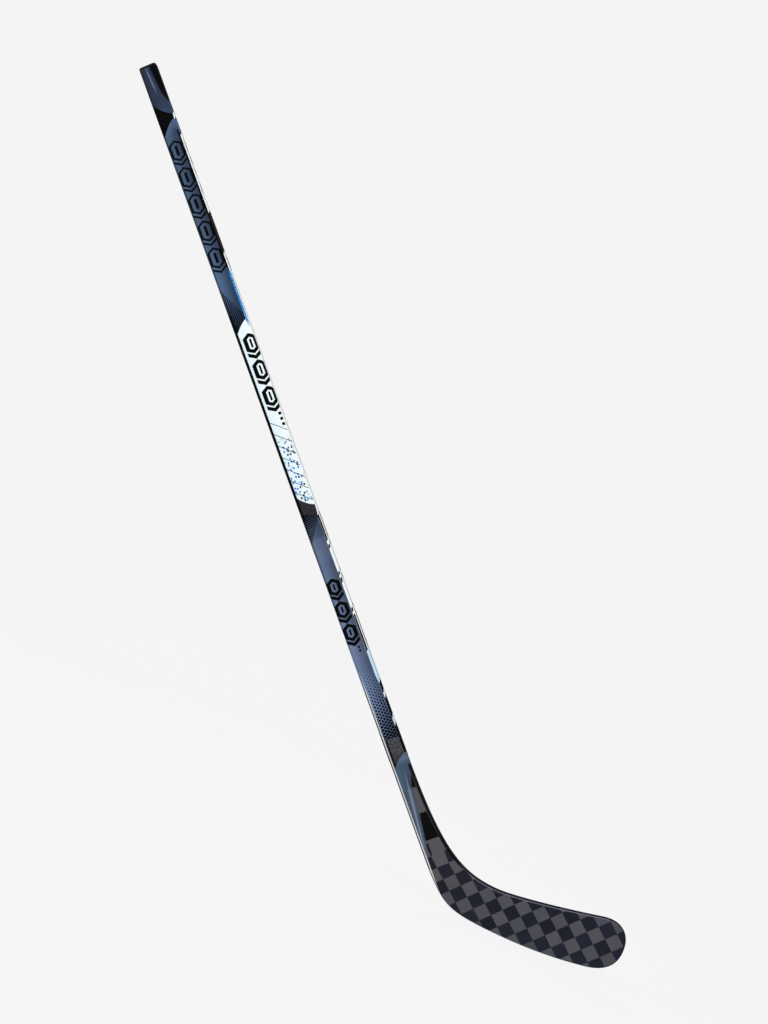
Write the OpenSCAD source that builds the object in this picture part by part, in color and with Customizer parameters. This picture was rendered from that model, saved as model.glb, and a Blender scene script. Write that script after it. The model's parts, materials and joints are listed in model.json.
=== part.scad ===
// Ice hockey stick, left-handed: a hollow carbon shaft bonded to a foam-cored, checker-woven blade.
// Frame: +Z up from the ice, +X toward the toe, -Y out of the forehand (hollow) face.
// The origin is the middle of the flat stretch of the sole, where the blade meets the ice.
// In-plane points are [x, z]. Along the shaft, places are measured up from the heel.

/* [Stick] */
// Length of the stick, from the heel to the butt end
stick_len = 1454; // [1200:1:1750]
// Angle between the shaft and the ice
lie = 47; // [42:0.5:52]

/* [Shaft] */
// Width of the two wide faces
shaft_w = 29.8; // [24:0.1:34]
// Thickness across the two narrow faces
shaft_t = 19.8; // [16:0.1:23]
// Corner radius of the shaft
shaft_r = 5; // [3.5:0.1:6.5]
// Wall of the load-carrying laminate tube
wall = 1.6; // [1.2:0.05:2.4]
// Thickness of the outer woven ply, on the shaft and on the blade
ply_t = 0.35; // [0.2:0.05:0.6]

/* [Joint] */
// Height of the butt joint between tube and hosel
joint_s = 262; // [245:1:330]
// Length of the tenon inside the tube
tenon_len = 55; // [35:1:80]
// Glue film around the tenon
glue_t = 0.15; // [0.1:0.05:0.4]
// Length of the wrap over the joint
wrap_len = 46; // [30:1:60]
// Share of the wrap that is on the hosel
wrap_share = 0.45; // [0.3:0.05:0.5]
// Thickness of the wrap
wrap_t = 0.25; // [0.15:0.05:0.5]

/* [End plug] */
// Thickness of the cap on the butt end
cap_t = 4; // [2.5:0.5:8]
// Rounding of the cap's rim, as a chamfer
cap_bevel = 1.2; // [0.5:0.1:2]
// Length of the insert inside the tube
plug_len = 42; // [25:1:70]
// Wall of the hollow insert
plug_wall = 1.8; // [1.2:0.1:2.5]
// Height of the grip ribs over the insert's sides
rib_h = 0.8; // [0.4:0.1:1.2]
// Width of one grip rib
rib_w = 2.4; // [1.5:0.1:4]
// Number of grip ribs
rib_count = 4; // [2:1:6]
// Clearance between the ribs and the tube
plug_gap = 0.1; // [0.05:0.05:0.3]
// Clearance under the cap when it is home
seat_gap = 0.1; // [0.05:0.05:0.3]

/* [Blade outline] */
// Distance from the origin back to the corner of the heel
heel_back = 87; // [70:1:105]
// Distance from the origin forward to the tip of the toe
toe_reach = 184; // [150:1:222]
// Height of the tip of the toe above the ice
tip_z = 62; // [52:1:66]
// Vertical height of the blade at the toe's upper corner
toe_h = 79; // [66:1:95]
// Distance from the tip back to the start of the toe's corners
toe_back = 45; // [38:1:54]
// Upward slope of the top edge at the toe
toe_slope = 15; // [10:0.5:20]
// Height of the lowest point of the top edge, in the throat
throat_z = 63; // [54:1:70]
// Distance from the origin back to that lowest point
throat_back = 23; // [10:1:32]
// Height on the shaft where the throat's flare starts
throat_s = 236; // [200:1:240]
// Height on the shaft where the heel starts to round
heel_s = 85; // [71:1:102]
// Distance from the origin back to where the heel's rounding meets the sole
sole_back = 45; // [36:1:54]
// Length of the flat stretch of the sole
flat_len = 16; // [10:1:24]
// Radius of the sole behind the flat stretch
rocker_heel_r = 400; // [300:10:900]
// Radius of the sole ahead of the flat stretch
rocker_toe_r = 580; // [450:10:1200]

/* [Blade section] */
// Thickness of the blade where it leaves the heel
heel_t = 12.5; // [10:0.1:15]
// Thickness of the blade at the tip of the toe
toe_t = 6.5; // [5.5:0.1:8]
// Corner radius of the blade's edges
edge_r = 2.6; // [1.8:0.1:2.7]
// Flat land of the edge bead beyond the shaft's corner radius
edge_land = 0.5; // [0.3:0.1:2]
// Thickness of the load-carrying skin under the woven ply
skin_t = 0.9; // [0.6:0.05:1.3]
// Thickness of the stiffening rib between the foam cores
rib_t = 1.6; // [1:0.1:3]
// Place of the rib across the blade's height, from the sole
rib_place = 0.46; // [0.3:0.01:0.7]

/* [Blade curve] */
// Radius of the curve, seen from above
curve_r = 900; // [650:10:1500]
// Distance from the origin back to where the curve starts
curve_back = 40; // [10:1:60]
// Angle by which the top edge leans back at the toe
face_open = 4; // [0:0.5:9]

/* [Hidden] */

eps = 0.01;
up_dir = [-cos(lie), sin(lie)];
toe_dir = [sin(lie), cos(lie)];
heel = [-heel_back, 0];
tip = [toe_reach, tip_z];
edge_w = shaft_r + edge_land;
flat_half = flat_len / 2;
toe_x = toe_reach - toe_back;
socket_in = ply_t + wall;

// How full the rounded corners are: a curve's handles reach these shares of the way to the corner
heel_full = 0.85;
throat_full = [0.85, 0.72];
top_full = 0.55;
toe_top_full = 0.6;
toe_low_full = [0.65, 0.7];

// Stations along each stretch of the blade
hosel_n = 2;
straight_n = 5;
heel_n = 7;
sole_n = 11;
toe_n = 9;
throat_n = straight_n + heel_n;
last = hosel_n + throat_n + sole_n + toe_n;
foam_first = hosel_n + 2;
foam_last = last - 5;
corner_n = 3;

// ---------- plane geometry ----------

// Point s up from the heel and w across from the heel-side face, on the shaft
function on_shaft(s, w) = heel + s * up_dir + w * toe_dir;

// Where the line through p along u meets the line through q along v
function crossing(p, u, q, v) =
    p + u * ((q[0] - p[0]) * v[1] - (q[1] - p[1]) * v[0]) / (u[0] * v[1] - u[1] * v[0]);

// Height of the sole above the ice: flat in the middle, round on both sides
function sole_z(x) =
    x < -flat_half ? pow(x + flat_half, 2) / 2 / rocker_heel_r :
    x > flat_half ? pow(x - flat_half, 2) / 2 / rocker_toe_r : 0;

// Direction of the sole at x, outside the flat stretch
function sole_dir(x) =
    x < 0 ? [rocker_heel_r, x + flat_half] / norm([rocker_heel_r, x + flat_half])
          : [rocker_toe_r, x - flat_half] / norm([rocker_toe_r, x - flat_half]);

// n points of a smooth curve from p (tangent u) to q (tangent v), without its last point
function bend(p, u, q, v, full_p, full_q, n) =
    let (c = crossing(p, u, q, v), p1 = p + full_p * (c - p), q1 = q + full_q * (c - q))
    [for (i = [0 : n - 1]) let (t = i / n, r = 1 - t)
        r * r * r * p + 3 * r * r * t * p1 + 3 * r * t * t * q1 + t * t * t * q];

sole_start = [-sole_back, sole_z(-sole_back)];
sole_end = [toe_x, sole_z(toe_x)];
throat_low = [-throat_back, throat_z];
toe_top = [toe_x, sole_z(toe_x) + toe_h];
top_dir = [cos(toe_slope), sin(toe_slope)];

// Sole stations: the flat stretch's two ends and evenly spaced points on either side
sole_behind = 2;
sole_xs = concat([for (i = [0 : sole_behind - 1])
                      -sole_back + i * (sole_back - flat_half) / sole_behind],
                 [for (i = [0 : sole_n - sole_behind - 1])
                      i == 0 ? -flat_half
                             : flat_half + (i - 1) * (toe_x - flat_half) / (sole_n - sole_behind - 1)]);

// Lower edge from the joint to the tip, then the upper edge from the joint to the tip
lower = concat(
    [on_shaft(joint_s, 0), on_shaft((joint_s + throat_s) / 2, 0)],
    [for (i = [0 : straight_n - 1]) on_shaft(throat_s + i * (heel_s - throat_s) / straight_n, 0)],
    bend(on_shaft(heel_s, 0), up_dir, sole_start, sole_dir(-sole_back), heel_full, heel_full, heel_n),
    [for (x = sole_xs) [x, sole_z(x)]],
    bend(sole_end, sole_dir(toe_x), tip, [0, 1], toe_low_full[0], toe_low_full[1], toe_n),
    [tip]);
upper = concat(
    [on_shaft(joint_s, shaft_w), on_shaft((joint_s + throat_s) / 2, shaft_w)],
    bend(on_shaft(throat_s, shaft_w), up_dir, throat_low, [1, 0],
         throat_full[0], throat_full[1], throat_n),
    bend(throat_low, [1, 0], toe_top, top_dir, top_full, top_full, sole_n),
    bend(toe_top, top_dir, tip, [0, 1], toe_top_full, toe_top_full, toe_n),
    [tip]);

// The whole edge as one path: along the sole to the tip and back along the top
edge = concat(lower, [for (i = [last - 1 : -1 : 0]) upper[i]]);
edge_end = 2 * last;

// Unit vector into the blade at point j of the edge
function inward(j) =
    let (d = edge[min(j + 1, edge_end)] - edge[max(j - 1, 0)]) [-d[1], d[0]] / norm(d);
// Point j of the edge, moved into the blade
function inset(j, depth) = edge[j] + depth * inward(j);
// Station number of point j of the edge
function station(j) = min(j, edge_end - j);

// Share of the way through the throat: 0 on the hosel, 1 on the blade, smooth between
function blend(i) =
    let (t = min(1, max(0, (i - hosel_n) / throat_n))) t * t * (3 - 2 * t);
// Share of the way from the heel to the tip
function along(i) = max(0, (i - hosel_n - throat_n) / (last - hosel_n - throat_n));
// Thickness and corner radius of the blade at a station
function thick(i) = shaft_t + (heel_t - shaft_t) * blend(i) + (toe_t - heel_t) * along(i);
function corner(i) = shaft_r + (edge_r - shaft_r) * blend(i);

// Sideways place of the blade's middle surface: curved in plan, leaning back toward the toe
function middle_y(p) =
    let (run = max(0, p[0] + curve_back))
    -run * run / 2 / curve_r
    + tan(face_open) * run / (toe_reach + curve_back) * (p[1] - tip_z);
// Point p of the outline, y away from the middle surface
function in_space(p, y) = [p[0], middle_y(p) + y, p[1]];

// Point at station i, a share f of the way from the lower bead to the upper one
function across(i, f) =
    let (a = inset(i, edge_w), b = inset(edge_end - i, edge_w)) a + f * (b - a);
// Heights that part the core at station i, as shares: lower bead, rib's two faces, upper bead
function heights(i) =
    let (half = rib_t / 2 / norm(across(i, 1) - across(i, 0)))
    [0, rib_place - half, rib_place + half, 1];

// ---------- shared solids ----------

// Rounded rectangle of the shaft, its faces moved inward by d; x is across, y is through
module shaft_outline(d) {
    w = shaft_w - 2 * d;
    t = shaft_t - 2 * d;
    r = max(shaft_r - d, 1);
    translate([-w / 2 + r, -t / 2]) square([w - 2 * r, t]);
    translate([-w / 2, -t / 2 + r]) square([w, t - 2 * r]);
    for (x = [-1, 1], y = [-1, 1])
        translate([x * (w / 2 - r), y * (t / 2 - r)]) circle(r = r, $fn = 48);
}

// Puts what is drawn on the XY plane across the shaft, s up from the heel
module at_shaft(s) {
    p = on_shaft(s, shaft_w / 2);
    translate([p[0], 0, p[1]]) rotate([0, lie - 90, 0]) children();
}

// Closed box-like sleeve on the shaft between two depths
module sleeve(outer_d, inner_d, s, length) {
    at_shaft(s) linear_extrude(length) difference() {
        shaft_outline(outer_d);
        shaft_outline(inner_d);
    }
}

// The two triangles of side k between ring a and the next one; both faces of a layer are cut
// along the same diagonal, so that the layers lie against each other without a gap
function side(a, b, n, k) =
    k < n / 2 ? [[a, b, b + n], [a, b + n, a + n]] : [[a, b, a + n], [b, b + n, a + n]];
function sides(m, n) =
    [for (i = [0 : m - 2], k = [0 : n - 1]) each side(i * n + k, i * n + (k + 1) % n, n, k)];
// The two ends, cut into strips from face to face; base is the number of the ring's first point
function far_end(n, base) =
    [for (k = [0 : n / 2 - 2])
        let (a = base + k, b = base + n - 1 - k) each [[a, a + 1, b - 1], [a, b - 1, b]]];
function near_end(n) = [for (f = far_end(n, 0)) [f[2], f[1], f[0]]];

// Solid that runs through sections of equal point counts
module loft(sections) {
    n = len(sections[0]);
    m = len(sections);
    polyhedron(points = [for (s = sections) each s],
               faces = concat(near_end(n), sides(m, n), far_end(n, (m - 1) * n)), convexity = 6);
}

// Section at station i of a layer between heights number low and high, and depths y0 and y1
function plate_section(i, low, high, y0, y1) =
    let (line = [for (k = [low : high]) across(i, heights(i)[k])], n = len(line))
    concat([for (p = line) in_space(p, y0)], [for (k = [n - 1 : -1 : 0]) in_space(line[k], y1)]);

// Plate that ends in the point of the toe
module toe_plate(sections, y0, y1) {
    n = len(sections[0]);
    m = len(sections);
    end = inset(last, edge_w);
    f = m * n;
    nose = [for (k = [0 : n - 1])
        let (a = (m - 1) * n + k, b = (m - 1) * n + (k + 1) % n,
             front = k < n / 2 - 1, back = k >= n / 2 && k < n - 1)
        each front ? [[a, b, f]] :
             back ? [[a, b, f + 1]] :
             k < n / 2 ? [[a, b, f + 1], [a, f + 1, f]] : [[a, b, f], [a, f, f + 1]]];
    polyhedron(points = [for (s = sections) each s, in_space(end, y0), in_space(end, y1)],
               faces = concat(near_end(n), sides(m, n), nose), convexity = 6);
}

// Full-height layer of the blade on one side: side -1 forehand, +1 backhand, between two depths
module face_layer(side, outer_d, inner_d) {
    sections = [for (i = [0 : last - 1])
        let (a = side * (thick(i) / 2 - outer_d), b = side * (thick(i) / 2 - inner_d))
        plate_section(i, 0, 3, min(a, b), max(a, b))];
    a = side * (thick(last) / 2 - outer_d);
    b = side * (thick(last) / 2 - inner_d);
    toe_plate(sections, min(a, b), max(a, b));
}

// Half depth of the space between the skins at station i, and a section of what fills it
function core_half(i) = thick(i) / 2 - ply_t - skin_t;
function core_section(i, low, high) =
    plate_section(i, low, high, -core_half(i), core_half(i));

// Section of the edge bead at point j: a D with rounded outer corners, flat toward the foam
function bead_section(j) =
    let (i = station(j), h = thick(i) / 2, r = corner(i),
         arc = [for (k = [0 : corner_n]) 90 * k / corner_n],
         front = [for (a = arc) [r - r * sin(a), -h + r - r * cos(a)]],
         back = [for (k = [corner_n : -1 : 0]) [front[k][0], -front[k][1]]],
         outline = concat([[edge_w, -h]], front, back, [[edge_w, h]]))
    [for (p = outline) in_space(inset(j, p[0]), p[1])];

// ---------- sub-parts ----------

// Hollow carbon laminate that carries the load, from the joint to the butt end
module shaft_tube() color("#3a3a3c")
    sleeve(ply_t, socket_in, joint_s, stick_len - cap_t - joint_s);

// Painted outer ply around the tube
module shaft_outer_ply() color("#4c6286")
    sleeve(0, ply_t, joint_s, stick_len - cap_t - joint_s);

// Cap and hollow ribbed insert that close the butt end
module end_plug() color("#17181b") {
    top_s = stick_len - cap_t + seat_gap;
    insert_d = socket_in + plug_gap + rib_h;
    at_shaft(top_s) difference() {
        union() {
            linear_extrude(cap_t - seat_gap - cap_bevel) shaft_outline(0);
            translate([0, 0, cap_t - seat_gap - cap_bevel - eps])
                linear_extrude(cap_bevel + eps) shaft_outline(cap_bevel / 2);
            translate([0, 0, -plug_len]) linear_extrude(plug_len + eps) shaft_outline(insert_d);
            for (i = [0 : rib_count - 1])
                translate([0, 0, -seat_gap - rib_w - (plug_len - rib_w - seat_gap) * i / rib_count])
                    linear_extrude(rib_w) shaft_outline(socket_in + plug_gap);
        }
        translate([0, 0, -plug_len - eps])
            linear_extrude(plug_len + eps) shaft_outline(insert_d + plug_wall);
    }
}

// Thin wrap of fibre around the joint between tube and hosel
module joint_wrap() color("#34302f")
    sleeve(-wrap_t, 0, joint_s - wrap_share * wrap_len, wrap_len);

// Glue between the tenon and the inside of the tube
module tenon_bond() color("#c9b98a")
    sleeve(socket_in, socket_in + glue_t, joint_s, tenon_len);

// Solid laminate core of the hosel, with the tenon that goes up into the tube
module hosel_core() color("#2b2b2e") {
    at_shaft(joint_s) linear_extrude(tenon_len) shaft_outline(socket_in + glue_t);
    loft([for (i = [0 : foam_first]) core_section(i, 0, 3)]);
}

// Checkered spread-tow ply on the hollow face
module forehand_ply() color("#3d3e48") face_layer(-1, 0, ply_t);

// Checkered spread-tow ply on the rounded face
module backhand_ply() color("#3d3e48") face_layer(1, 0, ply_t);

// Carbon skin under the forehand ply
module forehand_skin() color("#26272b") face_layer(-1, ply_t, ply_t + skin_t);

// Carbon skin under the backhand ply
module backhand_skin() color("#26272b") face_layer(1, ply_t, ply_t + skin_t);

// Bead of wrapped fibre along the heel and the sole, up to the tip of the toe
module sole_edge() color("#202128") loft([for (j = [0 : last]) bead_section(j)]);

// Bead of wrapped fibre along the throat and the top edge
module top_edge() color("#202128") loft([for (j = [last : edge_end]) bead_section(j)]);

// Foam under the rib
module foam_core_lower() color("#e8dfc4")
    loft([for (i = [foam_first : foam_last]) core_section(i, 0, 1)]);

// Foam over the rib
module foam_core_upper() color("#e8dfc4")
    loft([for (i = [foam_first : foam_last]) core_section(i, 2, 3)]);

// Carbon web that joins the two skins between the foam cores
module blade_rib() color("#303136")
    loft([for (i = [foam_first : foam_last]) core_section(i, 1, 2)]);

// Solid fibre filling of the toe, ahead of the foam
module toe_fill() color("#303136")
    toe_plate([for (i = [foam_last : last - 1]) core_section(i, 0, 3)],
              -core_half(last), core_half(last));

shaft_tube();
shaft_outer_ply();
end_plug();
joint_wrap();
tenon_bond();
hosel_core();
forehand_ply();
backhand_ply();
forehand_skin();
backhand_skin();
sole_edge();
top_edge();
foam_core_lower();
foam_core_upper();
blade_rib();
toe_fill();
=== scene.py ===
# %% [markdown]
# # An ice hockey stick, painted shaft and checker-woven blade
# A modern stick is one hollow carbon shaft bonded to a foam-cored blade. The measured model holds
# every layer of it. Here the outer skins are modelled smoothly, painted and lit. The measured
# model is loaded first, because every new piece rides on one of its bodies.

# %% Load the measured model
import json
import math
import bmesh
import bpy
import numpy as np
from mathutils import Matrix, Vector


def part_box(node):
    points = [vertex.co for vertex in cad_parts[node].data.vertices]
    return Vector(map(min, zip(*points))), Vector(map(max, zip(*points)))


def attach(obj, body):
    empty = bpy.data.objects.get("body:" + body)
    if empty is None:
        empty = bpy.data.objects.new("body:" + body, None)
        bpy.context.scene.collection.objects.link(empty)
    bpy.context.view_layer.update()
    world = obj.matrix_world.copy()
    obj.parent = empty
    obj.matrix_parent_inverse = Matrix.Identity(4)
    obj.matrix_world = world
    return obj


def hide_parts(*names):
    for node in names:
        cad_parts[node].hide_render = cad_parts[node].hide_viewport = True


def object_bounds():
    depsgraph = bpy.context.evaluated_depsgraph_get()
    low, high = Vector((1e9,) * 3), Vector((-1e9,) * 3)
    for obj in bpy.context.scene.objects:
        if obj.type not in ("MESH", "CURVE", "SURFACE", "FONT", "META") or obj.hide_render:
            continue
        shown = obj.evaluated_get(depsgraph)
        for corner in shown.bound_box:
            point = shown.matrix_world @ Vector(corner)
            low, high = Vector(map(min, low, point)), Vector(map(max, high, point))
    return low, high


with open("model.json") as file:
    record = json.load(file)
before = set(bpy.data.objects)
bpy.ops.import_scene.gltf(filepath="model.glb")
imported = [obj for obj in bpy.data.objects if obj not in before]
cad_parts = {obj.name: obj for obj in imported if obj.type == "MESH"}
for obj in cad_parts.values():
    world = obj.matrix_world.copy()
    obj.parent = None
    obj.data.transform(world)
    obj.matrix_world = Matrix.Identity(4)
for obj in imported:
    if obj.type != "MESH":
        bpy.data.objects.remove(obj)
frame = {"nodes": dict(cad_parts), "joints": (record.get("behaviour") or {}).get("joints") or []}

cad_low, cad_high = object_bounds()

# %% [markdown]
# ## Where things are on a stick
# A maker measures a stick along its shaft, so two directions are enough: up the shaft from the
# heel, and across it from the heel side to the toe side. The butt's slide joint gives the first,
# and the second is square to it. All lengths are in millimetres until a mesh is made.

# %% Directions and sizes
MM = 0.001
slide = frame["joints"][0]
axis = Vector(slide["axis"]).normalized()
UP = np.array([axis.x, axis.z])
ACROSS = np.array([axis.z, -axis.x])
HEEL = np.array([-87.0, 0.0])
STICK_LEN, SHAFT_W, SHAFT_T, SHAFT_R = 1454.0, 29.8, 19.8, 5.0
PLY_T, WALL, CAP_T = 0.35, 1.6, 4.0
JOINT_S, WRAP_LEN, WRAP_SHARE, WRAP_T = 262.0, 46.0, 0.45, 0.25
LEAN = math.atan2(axis.x, axis.z)


def on_shaft(s, w=SHAFT_W / 2):
    """In-plane point [x, z], s up from the heel and w across from the heel-side face."""
    return HEEL + s * UP + w * ACROSS


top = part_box("end_plug")[1]
reach = max((on_shaft(STICK_LEN, w) @ (0, 1)) * MM for w in (0, SHAFT_W))
print(f"butt corner at {reach:.4f} m, measured model {top.z:.4f} m, lean {math.degrees(LEAN):.2f}")

# %% [markdown]
# ## The camera
# The stick is seen nearly straight on to its hollow face, from about two and a quarter metres,
# with the camera rolled so that the shaft stands steeper than it does on the ice. A 50 mm lens
# on a 36 mm sensor gives the same gentle perspective.

# %% Camera
EYE, AIM, ROLL = Vector((-0.0527, -2.2356, 0.5014)), Vector((-0.4117, 0, 0.5354)), 22.42
LENS, SENSOR = 49.99, 36
camera = bpy.data.objects.new("camera", bpy.data.cameras.new("camera"))
bpy.context.collection.objects.link(camera)
camera.location = EYE
look = (AIM - EYE).to_track_quat("-Z", "Y").to_matrix()
camera.rotation_euler = (look @ Matrix.Rotation(math.radians(ROLL), 3, "Z")).to_euler()
camera.data.lens, camera.data.sensor_width = LENS, SENSOR
bpy.context.scene.camera = camera
print("camera at", tuple(round(v, 3) for v in camera.location), "lens", camera.data.lens)

# %% [markdown]
# ## Small helpers for modelling
# An operator works on whatever is selected, so each step starts by clearing the selection. In
# edit mode, vertices, edges or faces are then picked by a rule about their place.

# %% Helpers for selecting and editing
def clear_selection():
    """Deselects every object."""
    bpy.ops.object.select_all(action="DESELECT")


def edit(piece):
    """Makes piece the only selected one and opens it in edit mode."""
    if bpy.context.mode != "OBJECT":
        bpy.ops.object.mode_set(mode="OBJECT")
    clear_selection()
    piece.select_set(True)
    bpy.context.view_layer.objects.active = piece
    bpy.ops.object.mode_set(mode="EDIT")


def pick(piece, kind, rule):
    """Selects the verts, edges or faces of a piece in edit mode for which rule is true."""
    bpy.ops.mesh.select_mode(type={"verts": "VERT", "edges": "EDGE", "faces": "FACE"}[kind])
    bpy.ops.mesh.select_all(action="DESELECT")
    mesh = bmesh.from_edit_mesh(piece.data)
    found = [part for part in getattr(mesh, kind) if rule(part)]
    for part in found:
        part.select_set(True)
    mesh.select_flush_mode()
    bmesh.update_edit_mesh(piece.data)
    return len(found)


def close(piece, smooth_angle=40):
    """Leaves edit mode, puts the piece's place into its mesh and shades it smooth."""
    if bpy.context.mode != "OBJECT":
        bpy.ops.object.mode_set(mode="OBJECT")
    clear_selection()
    piece.select_set(True)
    bpy.context.view_layer.objects.active = piece
    bpy.ops.object.transform_apply(location=True, rotation=True, scale=True)
    bpy.ops.object.shade_smooth_by_angle(angle=math.radians(smooth_angle))
    bpy.ops.object.select_all(action="DESELECT")
    return piece


def add_modifier(piece, kind, **settings):
    """Adds a modifier with these settings and applies it."""
    clear_selection()
    piece.select_set(True)
    bpy.context.view_layer.objects.active = piece
    made = piece.modifiers.new(kind, kind)
    for name, value in settings.items():
        setattr(made, name, value)
    bpy.ops.object.modifier_apply(modifier=made.name)


def triangles(piece):
    piece.data.calc_loop_triangles()
    return len(piece.data.loop_triangles)


print("helpers ready")

# %% [markdown]
# ## Sleeves around the shaft
# The painted outer ply and the wrap over the joint are both thin rounded tubes. A box is placed
# along the shaft, its two ends are deleted, its four long edges are bevelled to the corner
# radius, and Solidify gives it the ply's thickness inward. A box is quicker to size exactly than
# a drawn outline, and its long faces stay perfectly flat.

# %% Box along the shaft, and a sleeve made from it
CORNER_STEPS = 10
CLOSE = 1e-5                               # metres within which two places count as one


def shaft_box(name, low_s, high_s, out=0.0):
    """A box around the shaft between two places on it, its faces moved outward by out."""
    clear_selection()
    middle = on_shaft((low_s + high_s) / 2)
    bpy.ops.mesh.primitive_cube_add(size=1, location=(middle[0] * MM, 0, middle[1] * MM),
                                    rotation=(0, LEAN, 0))
    box = bpy.context.active_object
    box.name = box.data.name = name
    box.scale = ((SHAFT_W + 2 * out) * MM, (SHAFT_T + 2 * out) * MM, (high_s - low_s) * MM)
    bpy.ops.object.transform_apply(location=False, rotation=False, scale=True)
    return box


def is_end(face):
    """True for a face that looks along the shaft, in the box's own axes."""
    return abs(face.normal.z) > 0.9


def is_long(edge):
    """True for an edge that runs along the shaft."""
    run = edge.verts[0].co - edge.verts[1].co
    return abs(run.z) > 10 * max(abs(run.x), abs(run.y))


def sleeve(name, low_s, high_s, thick, out=0.0, lip=0.0):
    """A thin rounded tube around the shaft; lip rounds its two outer rims."""
    tube = shaft_box(name, low_s, high_s, out)
    edit(tube)
    pick(tube, "faces", is_end)
    bpy.ops.mesh.delete(type="FACE")
    pick(tube, "edges", is_long)
    bpy.ops.mesh.bevel(offset=(SHAFT_R + out) * MM, segments=CORNER_STEPS, profile=0.5)
    bpy.ops.object.mode_set(mode="OBJECT")
    add_modifier(tube, "SOLIDIFY", thickness=thick * MM, offset=-1, use_even_offset=True)
    if lip:
        half = tube.dimensions / 2
        corner_cut = (SHAFT_R + out) * MM * 0.3 + CLOSE

        def on_outer_rim(edge):
            """True for an edge of an end where the outer wall turns into it."""
            at_end = all(abs(abs(v.co.z) - half.z) < CLOSE for v in edge.verts)
            outside = all(max(abs(v.co.x) - half.x, abs(v.co.y) - half.y) > -corner_cut
                          for v in edge.verts)
            by_wall = any(abs(f.normal.z) < 0.1 and f.normal.dot(f.calc_center_median()) > 0
                          for f in edge.link_faces)
            return at_end and outside and by_wall and len(edge.link_faces) == 2

        edit(tube)
        pick(tube, "edges", on_outer_rim)
        bpy.ops.mesh.bevel(offset=lip * MM, segments=2, profile=0.5)
    return close(tube)


print("corners rounded in", CORNER_STEPS, "steps")

# %% Painted ply of the shaft
shaft_skin = sleeve("painted_shaft_skin", JOINT_S, STICK_LEN - CAP_T, PLY_T)
print(shaft_skin.name, triangles(shaft_skin), "triangles")

# %% Wrap over the joint
wrap_low = JOINT_S - WRAP_SHARE * WRAP_LEN
joint_band = sleeve("joint_band", wrap_low, wrap_low + WRAP_LEN, WRAP_T, out=WRAP_T, lip=0.2)
print(joint_band.name, triangles(joint_band), "triangles")

# %% [markdown]
# ## The butt plug
# A moulded plug closes the hollow shaft: a cap the size of the shaft, with a rounded rim, and a
# hollow insert with grip ribs that bite into the tube. It is one block pulled out in steps, so
# the ribs are the side faces of alternate steps, extruded along their normals. The underside is
# inset and pushed up to hollow the insert.

# %% Sizes of the plug
SEAT_GAP, CAP_BEVEL, PLUG_LEN, PLUG_WALL, PLUG_FLOOR = 0.1, 1.2, 42.0, 1.8, 2.0
RIB_H, RIB_W, RIB_COUNT, PLUG_GAP = 0.8, 2.4, 4, 0.1
insert_in = PLY_T + WALL + PLUG_GAP + RIB_H
rib_pitch = (PLUG_LEN - RIB_W - SEAT_GAP) / RIB_COUNT
print(f"insert {SHAFT_W - 2 * insert_in:.1f} x {SHAFT_T - 2 * insert_in:.1f} mm")

# %% Cap of the plug
cap_low = STICK_LEN - CAP_T + SEAT_GAP
plug = shaft_box("butt_plug", cap_low, STICK_LEN)
cap_half = (STICK_LEN - cap_low) / 2 * MM
edit(plug)
pick(plug, "edges", is_long)
bpy.ops.mesh.bevel(offset=SHAFT_R * MM, segments=CORNER_STEPS, profile=0.5)
pick(plug, "faces", lambda f: f.normal.z > 0.9)
bpy.ops.mesh.region_to_loop()
bpy.ops.mesh.bevel(offset=CAP_BEVEL * MM, segments=5, profile=0.5)
print("cap rim rounded,", len(bmesh.from_edit_mesh(plug.data).faces), "faces")

# %% Insert, pulled out of the cap step by step
pick(plug, "faces", lambda f: f.normal.z < -0.9)
bpy.ops.mesh.inset(thickness=insert_in * MM, use_even_offset=True)
steps = [SEAT_GAP]
steps += [RIB_W, rib_pitch - RIB_W] * RIB_COUNT
steps.append(PLUG_LEN - sum(steps))
for step in steps:
    bpy.ops.mesh.extrude_region_move(TRANSFORM_OT_translate={
        "value": (0, 0, -step * MM), "orient_type": "LOCAL"})
print("insert pulled out by", round(sum(steps), 2), "mm in", len(steps), "steps")


# %% Ribs and the hollow
def in_rib(face):
    """True for a side face of a step of the insert that carries a rib."""
    depth = (-cap_half - face.calc_center_median().z) / MM - SEAT_GAP
    flat = abs(face.normal.z) < 0.1
    return flat and 0 < depth < rib_pitch * RIB_COUNT and depth % rib_pitch < RIB_W


pick(plug, "faces", in_rib)
bpy.ops.mesh.extrude_region_shrink_fatten(TRANSFORM_OT_shrink_fatten={
    "value": RIB_H * MM, "use_even_offset": True})
bottom = -cap_half - PLUG_LEN * MM
pick(plug, "faces", lambda f: f.normal.z < -0.9 and f.calc_center_median().z < bottom + CLOSE)
bpy.ops.mesh.inset(thickness=PLUG_WALL * MM, use_even_offset=True)
bpy.ops.mesh.extrude_region_move(TRANSFORM_OT_translate={
    "value": (0, 0, (PLUG_LEN - PLUG_FLOOR) * MM), "orient_type": "LOCAL"})
pick(plug, "faces", lambda f: True)
bpy.ops.mesh.normals_make_consistent(inside=False)
close(plug, 35)
print(plug.name, triangles(plug), "triangles")

# %% [markdown]
# ## The blade's outline
# The blade is a flat paddle seen from the side: straight along the back of the hosel, round at
# the heel, slightly rockered along the sole, round at the toe, nearly straight along the top and
# hollow in the throat. Each rounded corner is one smooth curve between two tangents, which is
# how a pattern maker draws it. Every point carries a station number, from the joint to the toe,
# which later gives the blade its thickness there.

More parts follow.
